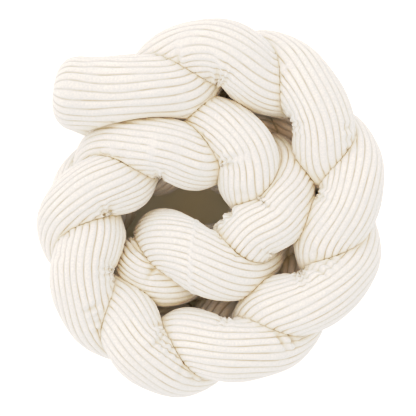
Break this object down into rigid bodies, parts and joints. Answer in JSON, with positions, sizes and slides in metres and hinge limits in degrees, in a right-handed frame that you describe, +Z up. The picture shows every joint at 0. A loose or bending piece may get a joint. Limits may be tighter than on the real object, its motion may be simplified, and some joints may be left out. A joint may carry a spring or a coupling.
{
  "type": "braided crib bumper, coiled up",
  "caption": "Stuffed wide-rib corduroy tubes plaited into a crib bumper, stood on its edge and coiled up, cream, with blunt closed ends.",
  "frame": {"origin": "on the surface the coil stands on, under the middle of its box", "axes": "+Z is up, along the plait's width. +X is to the right and +Y away when the coil is seen from above with its free end at the far left."},
  "size_m": [0.378, 0.4114, 0.1589],
  "materials": {
    "corduroy": "matt cream wide-rib corduroy"
  },
  "bodies": {
    "root": {"tube_a": "corduroy", "tube_b": "corduroy", "tube_c": "corduroy"}
  },
  "joints": []
}
